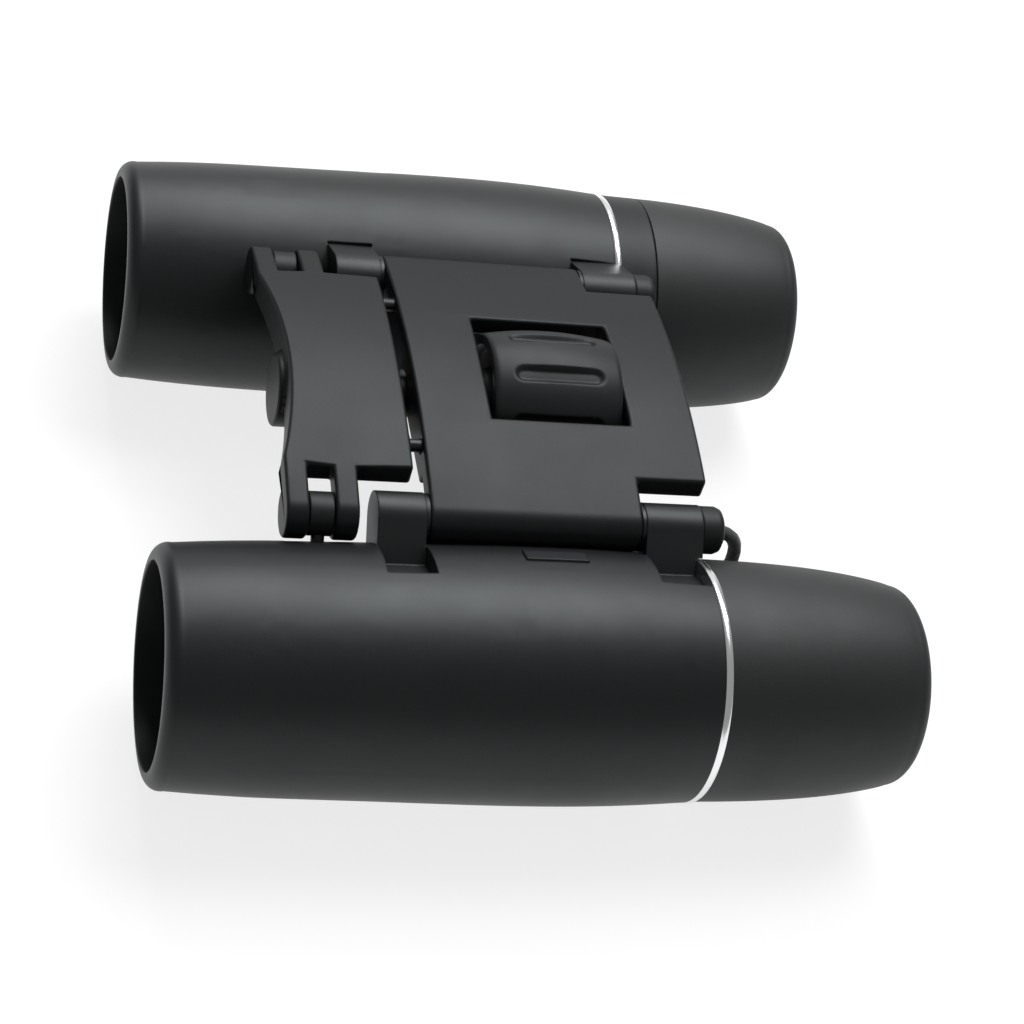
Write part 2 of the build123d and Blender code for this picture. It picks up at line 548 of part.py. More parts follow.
def ocular_glass(side, name):
    x, r = side * AXIS_X, TUBE_BORE_R - RUN_GAP
    rear = STOP_REAR - FIELD_EDGE - sag(r, FIELD_BULGE)
    save(lens(x, AXIS_Z, r, STOP_REAR, 0, rear, FIELD_BULGE), f"{name}_field_lens")
    save(lens(x, AXIS_Z, r, EYE_FRONT, EYE_BULGE, EYE_REAR, EYE_REAR_BULGE), f"{name}_eye_lens")
    bore, spacer = TUBE_BORE_R - 0.9, (STOP_REAR - 2.05, TUBE_REAR + 4.3)
    retainer = (EYE_REAR + sag(bore - 0.2, EYE_REAR_BULGE) - 0.08, TUBE_REAR + 0.2)
    save(turned(x, AXIS_Z, [(bore, spacer[0]), (r, spacer[0]), (r, spacer[1]), (bore, spacer[1])]),
         f"{name}_lens_spacer")
    save(turned(x, AXIS_Z, [
        (bore - 0.2, retainer[0]), (r, retainer[0]), (r, retainer[1]), (bore + 0.2, retainer[1]),
        (bore - 0.2, retainer[1] + 0.4),
    ]), f"{name}_lens_retainer")


def objective(side, name):
    """Sliding objective: cell, cemented pair, retaining ring, and the link up to the hinge line."""
    x, hx = side * AXIS_X, side * HINGE_X
    front_y, middle_y, ring_y = LENS_SEAT_Y + 4.83, LENS_SEAT_Y + 1.43, LENS_SEAT_Y + 3.78
    save(lens(x, AXIS_Z, LENS_R, front_y, CROWN_BULGE, middle_y, CEMENT_BULGE), f"{name}_crown_lens")
    save(lens(x, AXIS_Z, LENS_R, middle_y, -CEMENT_BULGE, LENS_SEAT_Y, 0), f"{name}_flint_lens")
    save(turned(x, AXIS_Z, [
        (LENS_R - 0.75, ring_y), (LENS_R, ring_y), (LENS_R, CELL_FRONT - 0.5), (LENS_R - 0.45, CELL_FRONT - 0.5),
    ]), f"{name}_objective_ring")
    reach = HINGE_REACH - LINK_R + 0.6
    with BuildPart() as cell:
        add(turned(x, AXIS_Z, [
            (CELL_CLEAR_R, CELL_REAR), (CELL_R, CELL_REAR), (CELL_R, CELL_FRONT), (LENS_R + RUN_GAP, CELL_FRONT),
            (LENS_R + RUN_GAP, LENS_SEAT_Y), (CELL_CLEAR_R, LENS_SEAT_Y),
        ]))
        with Locations(Location((x, STUD_Y, AXIS_Z), (0, -side * HINGE_TILT, 0))):
            with Locations((0, 0, CELL_CLEAR_R - 0.5)):
                Cylinder(STUD_R, 4, align=(Align.CENTER, Align.CENTER, Align.MIN), mode=Mode.SUBTRACT)
    save(cell.part, f"{name}_objective_cell")
    with BuildPart() as stud:
        with Locations(Location((x, STUD_Y, AXIS_Z), (0, -side * HINGE_TILT, 0))):
            with Locations((0, 0, CELL_CLEAR_R + 0.25)):
                Cylinder(STUD_R, reach - CELL_CLEAR_R - 0.25, align=(Align.CENTER, Align.CENTER, Align.MIN))
    save(stud.part, f"{name}_link_stud")
    eye_len = FORK_A[1] - FORK_B[0] - 2 * LINK_GAP
    with BuildPart() as link:
        bar(hx, HINGE_Z, LINK_R, STUD_Y - eye_len / 2, STUD_Y + eye_len / 2)
        bar(hx, HINGE_Z, CLEVIS_PIN_R + RUN_GAP, STUD_Y - eye_len / 2, STUD_Y + eye_len / 2, Mode.SUBTRACT)
        with Locations(Location((x, STUD_Y, AXIS_Z), (0, -side * HINGE_TILT, 0))):
            Cylinder(STUD_R, reach, align=(Align.CENTER, Align.CENTER, Align.MIN), mode=Mode.SUBTRACT)
    save(link.part, f"{name}_focus_link")


for side, name in ((-1, "left"), (1, "right")):
    x = side * AXIS_X
    save(barrel_shell(side), f"{name}_barrel_shell")
    save(hinge_cap(side), f"{name}_hinge_cap")
    with BuildPart() as hinge_pin:
        bar(side * HINGE_X, HINGE_Z, PIN_R, PIN_REAR, PIN_FRONT)
    save(hinge_pin.part, f"{name}_hinge_pin")
    save(prism_cage(side), f"{name}_prism_cage")
    save(prism(side, HALF_PENTA), f"{name}_half_penta_prism")
    save(roof_prism(side), f"{name}_roof_prism")
    save(prism_clip(side), f"{name}_prism_clip")
    save(trim_ring(side), f"{name}_trim_ring")
    ocular_glass(side, name)
    objective(side, name)

save(adjuster_cover(-1), "left_adjuster_cover")

# Left eyepiece: the tube carries its own plug, and the eyecup is pressed on.
save(turned(-AXIS_X, AXIS_Z, [
    (TUBE_R - 2, PLUG_FRONT), (PLUG_R, PLUG_FRONT), (PLUG_R, RING_REAR), (TUBE_R, RING_REAR), (TUBE_R, TUBE_REAR),
    *reversed(TUBE_BORE), (TUBE_R - 2, STOP_FRONT),
]), "left_ocular_tube")
save(eyecup(-1, RING_REAR, [(TUBE_R, CUP_BACK), (TUBE_R, RING_REAR)]), "left_eyecup")

# Right eyepiece: a collar closes the barrel, the tube slides in it, and the eyecup turns round its spigot.
SPIGOT_REAR = SEAM_Y - 3.5
save(turned(AXIS_X, AXIS_Z, [
    (TUBE_R + SLIDE_GAP, PLUG_FRONT), (PLUG_R, PLUG_FRONT), (PLUG_R, RING_REAR), (CUP_R + 0.12, RING_REAR),
    (CUP_R + 0.02, SEAM_Y), (SPIGOT_R, SEAM_Y), (SPIGOT_R, SPIGOT_REAR), (TUBE_R + SLIDE_GAP, SPIGOT_REAR),
]), "right_eyepiece_collar")
save(turned(AXIS_X, AXIS_Z, [
    (TUBE_R - 2, PLUG_FRONT - 2.5), (TUBE_R, PLUG_FRONT - 2.5), (TUBE_R, TUBE_REAR), *reversed(TUBE_BORE),
    (TUBE_R - 2, STOP_FRONT),
]), "right_ocular_tube")
CUP_FRONT = SEAM_Y - 0.15
save(eyecup(1, CUP_FRONT, [
    (TUBE_R + 0.4, CUP_BACK), (TUBE_R + 0.4, SPIGOT_REAR - 0.3), (SPIGOT_R + SLIDE_GAP, SPIGOT_REAR - 0.3),
    (SPIGOT_R + SLIDE_GAP, CUP_FRONT),
]), "right_dioptre_eyecup")

# ---- strap: knot held by the left cap, lead, and the rest of the loop in a tied hank ----
KNOT_REAR = CAP_REAR + 1.35
with BuildPart() as strap_knot:
    bar(-HINGE_X, HINGE_Z, CAP_POCKET_R - 0.1, KNOT_REAR, PIN_REAR - 0.7)
    fillet(strap_knot.edges().filter_by(GeomType.CIRCLE).sort_by(Axis.Y)[-1], 0.8)
save(strap_knot.part, "strap_knot")

ROUTE = [
    (-HINGE_X, KNOT_REAR, HINGE_Z), (-HINGE_X, -23.7, HINGE_Z), (-19.2, -26.7, 22.4), (-17.1, -27.0, 13.0),
    (-13.0, -26.3, CORD_R + 0.1), (0, -24.4, CORD_R + 0.1), (0, HANK_REAR, CORD_R + 0.1),
]


def route_radii(points):
    """Bend radius at each corner: 0.45 of the shorter run, over the tangent of half the turn."""
    runs = [Vector(*b) - Vector(*a) for a, b in zip(points, points[1:])]
    return [0.45 * min(u.length, v.length) / tan(radians(u.get_angle(v) / 2)) for u, v in zip(runs, runs[1:])]


ROUTE_RADII = route_radii(ROUTE)
print("strap radii", [round(r, 2) for r in ROUTE_RADII])
with BuildPart() as strap_lead:
    with BuildLine() as route:
        FilletPolyline(*ROUTE, radius=ROUTE_RADII)
    with BuildSketch(Plane(origin=ROUTE[0], z_dir=(0, -1, 0))):
        Circle(CORD_R)
    sweep(path=route.wires()[0])
save(strap_lead.part, "strap_lead")
length = sum(edge.length for edge in route.edges())
print(f"lead {length:.1f} mm, volume {strap_lead.part.volume:.1f}, expected {length * pi * CORD_R**2:.1f}")

HANK_W, HANK_H, TIE_T = 4 * 2 * CORD_R, 2 * 2 * CORD_R, 0.6
with BuildPart() as strap_hank:
    with BuildSketch(across(HANK_FRONT)):
        with Locations((0, HANK_H / 2)):
            RectangleRounded(HANK_W, HANK_H, CORD_R * 0.95)
    extrude(amount=HANK_FRONT - HANK_REAR)
save(strap_hank.part, "strap_hank")

with BuildPart() as strap_tie:
    with BuildSketch(across(1.7)):
        with Locations((0, (HANK_H + TIE_T) / 2)):
            RectangleRounded(HANK_W + 2 * TIE_T, HANK_H + TIE_T, 1.1)
        with Locations((0, HANK_H / 2)):
            RectangleRounded(HANK_W, HANK_H, CORD_R * 0.95, mode=Mode.SUBTRACT)
    extrude(amount=3.4)
save(strap_tie.part, "strap_tie")
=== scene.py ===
import json
from math import atan2, ceil, cos, pi, radians, sin

import bmesh
import bpy
from mathutils import Matrix, Vector


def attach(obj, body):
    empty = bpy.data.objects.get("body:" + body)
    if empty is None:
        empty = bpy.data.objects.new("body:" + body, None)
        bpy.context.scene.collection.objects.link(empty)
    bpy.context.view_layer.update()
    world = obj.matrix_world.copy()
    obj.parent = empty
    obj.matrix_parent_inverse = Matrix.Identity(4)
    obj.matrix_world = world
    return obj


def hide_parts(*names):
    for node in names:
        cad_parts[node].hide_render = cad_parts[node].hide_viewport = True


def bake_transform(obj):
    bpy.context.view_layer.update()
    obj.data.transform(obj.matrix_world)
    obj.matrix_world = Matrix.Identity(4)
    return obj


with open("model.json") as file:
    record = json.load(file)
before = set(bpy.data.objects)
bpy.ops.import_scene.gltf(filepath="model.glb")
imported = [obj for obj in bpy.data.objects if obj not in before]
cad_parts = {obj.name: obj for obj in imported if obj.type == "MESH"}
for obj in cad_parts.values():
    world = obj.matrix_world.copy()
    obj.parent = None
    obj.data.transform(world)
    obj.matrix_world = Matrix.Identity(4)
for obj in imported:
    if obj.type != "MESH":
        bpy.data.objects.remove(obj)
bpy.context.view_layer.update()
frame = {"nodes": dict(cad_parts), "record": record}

# Compact folding binoculars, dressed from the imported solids. Metres in the scene; the pieces' own sizes
# below are in millimetres, on the frame of the solids: +X to the user's right, +Y to the objectives, +Z up.
MM = 0.001

# ---- Camera ----
# A long lens looks down over the left objective at the pair lying open on the table.
scene = bpy.context.scene
scene.view_settings.view_transform = "Standard"

LENS_MM, SENSOR_MM = 90.16, 36
CAMERA_ROLL = radians(18.35)
camera_at, camera_to = Vector((-0.22313, 0.08728, 0.23761)), Vector((0, -0.00442, 0.00795))
back = (camera_at - camera_to).normalized()
level = Vector((0, 0, 1)).cross(back).normalized()
rise = back.cross(level)
camera_right = level * cos(CAMERA_ROLL) + rise * sin(CAMERA_ROLL)
camera_up = rise * cos(CAMERA_ROLL) - level * sin(CAMERA_ROLL)
camera = bpy.data.objects.new("camera", bpy.data.cameras.new("camera"))
camera_axes = Matrix((camera_right, camera_up, back)).transposed()
camera.matrix_world = Matrix.Translation(camera_at) @ camera_axes.to_4x4()
camera.data.lens = LENS_MM
camera.data.sensor_width = SENSOR_MM
camera.data.clip_start = 0.01
scene.collection.objects.link(camera)
scene.camera = camera

# ---- Lamps and room ----
# Two square soft lamps hang high on the right, a broad faint one stands low beyond them, and the room is
# plain grey. All three face the middle of the pair.
LAMP_AIM = Vector((0, 0, 0.02))


def soft_lamp(name, at, size, radiance):
    """White square lamp of the given side and surface brightness."""
    lamp = bpy.data.lights.new(name, "AREA")
    lamp.shape, lamp.size = "SQUARE", size
    lamp.energy = radiance * pi * size**2
    holder = bpy.data.objects.new(name, lamp)
    holder.location = at
    holder.rotation_euler = (Vector(at) - LAMP_AIM).to_track_quat("Z", "Y").to_euler()
    scene.collection.objects.link(holder)


soft_lamp("overhead_lamp", at=(0.27, -0.23, 0.76), size=0.46, radiance=9.2)
soft_lamp("far_lamp", at=(0.66, 0.0, 0.80), size=0.35, radiance=9)
soft_lamp("side_lamp", at=(1.1, -0.2, 0.35), size=1.0, radiance=0.5)

ROOM_GREY = 0.3
WHITE = (1, 1, 1, 1)
world = bpy.data.worlds.new("plain_room")
world.use_nodes = True
room = world.node_tree.nodes["Background"]
room.inputs["Color"].default_value = WHITE
room.inputs["Strength"].default_value = ROOM_GREY
scene.world = world

# ---- Tabletop ----
# A pale matt table that runs on past the picture, so that only the pair's own soft shadow marks it. Its glow
# shows to the camera and in gloss and glass, and lights nothing else.
TABLE_HALF = 4.0
TABLE_GREY, TABLE_GLOW = (0.24, 0.24, 0.24, 1), 0.79


def new_material(name):
    """Material with an empty node tree, and its makers of nodes and of links."""
    material = bpy.data.materials.new(name)
    material.use_nodes = True
    tree = material.node_tree
    tree.nodes.clear()

    def node(kind, **values):
        made = tree.nodes.new(kind)
        for key, value in values.items():
            if key in made.inputs:
                made.inputs[key].default_value = value
            else:
                setattr(made, key, value)
        return made

    def link(source, target):
        tree.links.new(source, target)

    return material, node, link


tabletop, node, link = new_material("tabletop")
rays = node("ShaderNodeLightPath")
seen = node("ShaderNodeMath", operation="ADD", use_clamp=True)
seen_through = node("ShaderNodeMath", operation="ADD", use_clamp=True)
matt = node("ShaderNodeBsdfDiffuse", Color=TABLE_GREY)
glow = node("ShaderNodeEmission", Color=WHITE)
share = node("ShaderNodeMath", operation="MULTIPLY")
share.inputs[1].default_value = TABLE_GLOW
both = node("ShaderNodeAddShader")
out = node("ShaderNodeOutputMaterial")
link(rays.outputs["Is Camera Ray"], seen.inputs[0])
link(rays.outputs["Is Glossy Ray"], seen.inputs[1])
link(seen.outputs[0], seen_through.inputs[0])
link(rays.outputs["Is Transmission Ray"], seen_through.inputs[1])
link(seen_through.outputs[0], share.inputs[0])
link(share.outputs[0], glow.inputs["Strength"])
link(matt.outputs[0], both.inputs[0])
link(glow.outputs[0], both.inputs[1])
link(both.outputs[0], out.inputs["Surface"])

table_corners = [(x * TABLE_HALF, y * TABLE_HALF, 0) for x, y in ((-1, -1), (1, -1), (1, 1), (-1, 1))]
floor_mesh = bpy.data.meshes.new("tabletop")
floor_mesh.from_pydata(table_corners, [], [(0, 1, 2, 3)])
floor_mesh.materials.append(tabletop)
floor = bpy.data.objects.new("tabletop", floor_mesh)
scene.collection.objects.link(floor)

# ---- Bridge plate ----
# A crowned plate cast in light alloy and enamelled satin black. Its long sides are rolled into the outer
# knuckles of the main hinges, and the focus wheel stands up through its window.
NOISE_LOW, NOISE_HIGH = 0.3, 0.7  # values of a noise texture at its darkest and lightest patches
WORN_PATCH = 9  # size of the patches that differ in gloss
JOIN_DISTANCE = 2e-6  # metres, closer than which the corners of two triangles are one
SHARP_ANGLE = radians(32)  # edges that turn more than this stay sharp in the shading
FLAT_ANGLE = radians(0.4)  # faces that turn less than this are one flat face
CORNER_ANGLE = radians(45)  # edges that turn more than this are rounded
CORNER_STEPS = 3


def finish(name, base, rough, grain, bump, metallic=0.0, specular=0.5, rough_spread=0.06, tint_spread=0.25,
           edge=0.0, sheen=(1, 1, 1)):
    """Material with fine grain in its colour, gloss and surface. grain is the size and bump the depth of the
    texture, and edge the radius that handling and tumbling leave on the corners, all in mm."""
    material, node, link = new_material(name)
    place = node("ShaderNodeTexCoord")
    fine = node("ShaderNodeTexNoise", Scale=1 / (grain * MM), Detail=4.0, Roughness=0.6)
    broad = node("ShaderNodeTexNoise", Scale=1 / (WORN_PATCH * MM), Detail=3.0, Roughness=0.55)
    tones = node("ShaderNodeValToRGB")
    low, high = tones.color_ramp.elements
    low.position, high.position = NOISE_LOW, NOISE_HIGH
    low.color = (*(c * (1 - tint_spread) for c in base), 1)
    high.color = (*(c * (1 + tint_spread) for c in base), 1)
    gloss = node("ShaderNodeMapRange")
    gloss.inputs["From Min"].default_value = NOISE_LOW
    gloss.inputs["From Max"].default_value = NOISE_HIGH
    gloss.inputs["To Min"].default_value = rough - rough_spread
    gloss.inputs["To Max"].default_value = rough + rough_spread
    relief = node("ShaderNodeBump", Strength=1.0, Distance=bump * MM)
    if edge:
        worn = node("ShaderNodeBevel", samples=6, Radius=edge * MM)
        link(worn.outputs["Normal"], relief.inputs["Normal"])
    body = node("ShaderNodeBsdfPrincipled", Metallic=metallic)
    body.inputs["Specular IOR Level"].default_value = specular
    body.inputs["Specular Tint"].default_value = (*sheen, 1)
    out = node("ShaderNodeOutputMaterial")
    link(place.outputs["Object"], fine.inputs["Vector"])
    link(place.outputs["Object"], broad.inputs["Vector"])
    link(fine.outputs["Fac"], tones.inputs["Fac"])
    link(broad.outputs["Fac"], gloss.inputs["Value"])
    link(fine.outputs["Fac"], relief.inputs["Height"])
    link(tones.outputs["Color"], body.inputs["Base Color"])
    link(gloss.outputs["Result"], body.inputs["Roughness"])
    link(relief.outputs["Normal"], body.inputs["Normal"])
    link(body.outputs[0], out.inputs["Surface"])
    return material


def placed(name, mesh, body, *replaced, slot, material):
    """Object of a mesh in its finish, riding on its body if it has one, in place of CAD nodes."""
    piece = bpy.data.objects.new(name, mesh)
    scene.collection.objects.link(piece)
    mesh.materials.clear()
    mesh.materials.append(material)
    if body:
        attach(piece, body)
    if replaced:
        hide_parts(*replaced)
    return piece


def joined_copy(node_name):
    """Mesh of a CAD node, its triangles joined and its curves shaded smooth."""
    cad = frame["nodes"][node_name]
    shape = bmesh.new()
    shape.from_mesh(cad.data)
    bmesh.ops.remove_doubles(shape, verts=shape.verts, dist=JOIN_DISTANCE)
    mesh = bpy.data.meshes.new(node_name + "_skin")
    shape.to_mesh(mesh)
    shape.free()
    faceted = mesh.attributes.get("custom_normal")
    if faceted:
        mesh.attributes.remove(faceted)
    mesh.shade_smooth()
    mesh.set_sharp_from_angle(angle=SHARP_ANGLE)
    return mesh


def as_modified(piece):
    """Plain mesh of a piece with its modifiers applied."""
    return bpy.data.meshes.new_from_object(piece.evaluated_get(bpy.context.evaluated_depsgraph_get()))


def weighted(piece):
    """The piece, its flat faces shaded flat beside rounded edges."""
    tool = piece.modifiers.new("weights", "WEIGHTED_NORMAL")
    tool.keep_sharp = True
    tool.weight = 100  # large faces count most
    mesh = as_modified(piece)
    piece.modifiers.remove(tool)
    old, piece.data = piece.data, mesh
    bpy.data.meshes.remove(old)
    return piece


body_of_node = {n: b for b, names in frame["record"]["behaviour"]["bodies"].items() for n in names}


def coated(node_name, material):
    """The bare solid of a node in its finish."""
    cad = frame["nodes"][node_name]
    cad.data.materials.clear()
    cad.data.materials.append(material)


def rounded(mesh, radius):
    """The mesh with its corners rounded by the radius, in mm."""
    shape = bmesh.new()
    shape.from_mesh(mesh)
    bmesh.ops.dissolve_limit(shape, angle_limit=FLAT_ANGLE, verts=shape.verts, edges=shape.edges)
    shape.to_mesh(mesh)
    shape.free()
    piece = bpy.data.objects.new("rounded", mesh)
    scene.collection.objects.link(piece)
    tool = piece.modifiers.new("corners", "BEVEL")
    tool.width, tool.segments = radius * MM, CORNER_STEPS
    tool.limit_method, tool.angle_limit, tool.use_clamp_overlap = "ANGLE", CORNER_ANGLE, False
    bpy.context.view_layer.update()
    softened = as_modified(piece)
    bpy.data.objects.remove(piece)
    softened.shade_smooth()
    softened.set_sharp_from_angle(angle=SHARP_ANGLE)
    return softened


def dressed(node_name, slot, material, corner=0):
    """Smooth skin over the solid of a node, in its finish, its corners rounded by the radius in mm."""
    coated(node_name, material)
    mesh = joined_copy(node_name)
    if corner:
        mesh = rounded(mesh, corner)
    skin = placed(node_name + "_skin", mesh, body_of_node[node_name], node_name, slot=slot, material=material)
    bpy.context.view_layer.update()
    return weighted(skin)


COOL_SHEEN = (0.93, 0.985, 1.0)
ENAMEL_BLACK = (0.0062, 0.0068, 0.0074)
ENAMEL_GRAIN, ENAMEL_BUMP, ENAMEL_EDGE = 0.25, 0.004, 0.35
PLATE_CORNER = 0.4
plate_enamel = finish("plate_enamel", ENAMEL_BLACK, rough=0.45, grain=ENAMEL_GRAIN, bump=ENAMEL_BUMP,
                      specular=0.23, rough_spread=0.02, edge=ENAMEL_EDGE, sheen=COOL_SHEEN)
dressed("bridge_plate", "black_paint", plate_enamel, corner=PLATE_CORNER)

# ---- Focus carriage ----
# The front plate of the bridge, cast and enamelled like it. It slides on two steel rods, and its forks carry
# the links that pull the objective cells.
dressed("focus_carriage", "black_paint", plate_enamel, corner=PLATE_CORNER)
TURNED_GRAIN, TURNED_BUMP = 0.12, 0.001
blackened_steel = finish("blackened_steel", (0.018, 0.018, 0.019), rough=0.4, grain=TURNED_GRAIN,
                         bump=TURNED_BUMP, metallic=0.6, tint_spread=0.15)
dressed("guide_rods", "steel", blackened_steel)
dressed("clevis_pins", "steel", blackened_steel)

# ---- Focus wheel, screw and nut ----
# A moulded wheel with nine finger grooves, held on the steel screw by a grub screw. The screw turns in two
# brass bushes in the bridge and drives the brass nut in the carriage. A node tree sinks the grooves.
MOULDED_EDGE = 0.3
black_plastic = finish("moulded_black_plastic", (0.0072, 0.0078, 0.0084), rough=0.5, grain=0.2, bump=0.005,
                       specular=0.3, rough_spread=0.03, edge=MOULDED_EDGE, sheen=COOL_SHEEN)
turned_steel = finish("turned_steel", (0.55, 0.55, 0.56), rough=0.28, grain=TURNED_GRAIN, bump=TURNED_BUMP,
                      metallic=1.0, tint_spread=0.1)
turned_brass = finish("turned_brass", (0.62, 0.46, 0.2), rough=0.3, grain=TURNED_GRAIN, bump=TURNED_BUMP,
                      metallic=1.0, tint_spread=0.1)
WHEEL_Z = 27.4
WHEEL_FRONT, WHEEL_REAR = 4.6, -11.6
WHEEL_MIDDLE = (WHEEL_FRONT + WHEEL_REAR) / 2
WHEEL_R, WHEEL_END_R = 9.1, 8.35
RIM_EDGE_R, RIM_EDGE = 8.3, 0.15  # bevel round each end of the wheel
HOLLOW_R, HOLLOW_FLOOR_R, HOLLOW_DEPTH = 7.0, 6.6, 1.2  # hollow round the hub in each end
HOLLOW_EDGE = 0.08
HUB_R, HUB_FOOT_R, SHAFT_R = 3.9, 4.2, 2.0
RIM_STEPS, RIM_ROUND = 64, 400
WHEEL_SHARP_ANGLE = radians(35)


def from_bmesh(name, shape, sharp_angle):
    """Plain mesh of a bmesh in millimetres, in metres, its normals outward and its sharp edges kept."""
    bmesh.ops.recalc_face_normals(shape, faces=shape.faces)
    bmesh.ops.scale(shape, vec=(MM, MM, MM), verts=shape.verts)
    mesh = bpy.data.meshes.new(name)
    shape.to_mesh(mesh)
    shape.free()
    mesh.shade_smooth()
    mesh.set_sharp_from_angle(angle=sharp_angle)
    return mesh


def wheel_blank():
    """Barrel-shaped wheel with hollow ends and a bore, before its grooves are sunk."""
    half = (WHEEL_FRONT - WHEEL_REAR) / 2
    bow = [(WHEEL_R - (WHEEL_R - WHEEL_END_R) * t * t, WHEEL_MIDDLE + half * t)
           for t in (2 * k / RIM_STEPS - 1 for k in range(RIM_STEPS + 1))]
    front_end = [
        (RIM_EDGE_R, WHEEL_FRONT - RIM_EDGE), (RIM_EDGE_R - RIM_EDGE, WHEEL_FRONT), (HOLLOW_R, WHEEL_FRONT),
        (HOLLOW_R - HOLLOW_EDGE, WHEEL_FRONT - HOLLOW_EDGE), (HOLLOW_FLOOR_R, WHEEL_FRONT - HOLLOW_DEPTH),
        (HUB_FOOT_R, WHEEL_FRONT - HOLLOW_DEPTH), (HUB_R, WHEEL_FRONT), (SHAFT_R, WHEEL_FRONT),
    ]
    rear_end = [(r, WHEEL_FRONT + WHEEL_REAR - y) for r, y in reversed(front_end)]
    outline = [(r, y) for r, y in bow if abs(y - WHEEL_MIDDLE) < half - 2 * RIM_EDGE]
    outline += front_end + rear_end
    shape = bmesh.new()
    rings = [[shape.verts.new((r * sin(t), y, WHEEL_Z + r * cos(t)))
              for t in (2 * pi * k / RIM_ROUND for k in range(RIM_ROUND))] for r, y in outline]
    for a, b in zip(rings, rings[1:] + rings[:1]):
        for k in range(RIM_ROUND):
            n = (k + 1) % RIM_ROUND
            shape.faces.new((a[k], a[n], b[n], b[k]))
    return from_bmesh("focus_wheel_blank", shape, WHEEL_SHARP_ANGLE)


SOFT_RIM_OUTSIDE = 0.3  # share of the soft rim that lies outside the groove's width
RIM_FROM = 0.9  # share of the wheel's radius beyond which the surface is its rim
DRILL_REACH = 0.62  # middle of the drill, as a share of the wheel's radius
DRILL_ROUND = 48


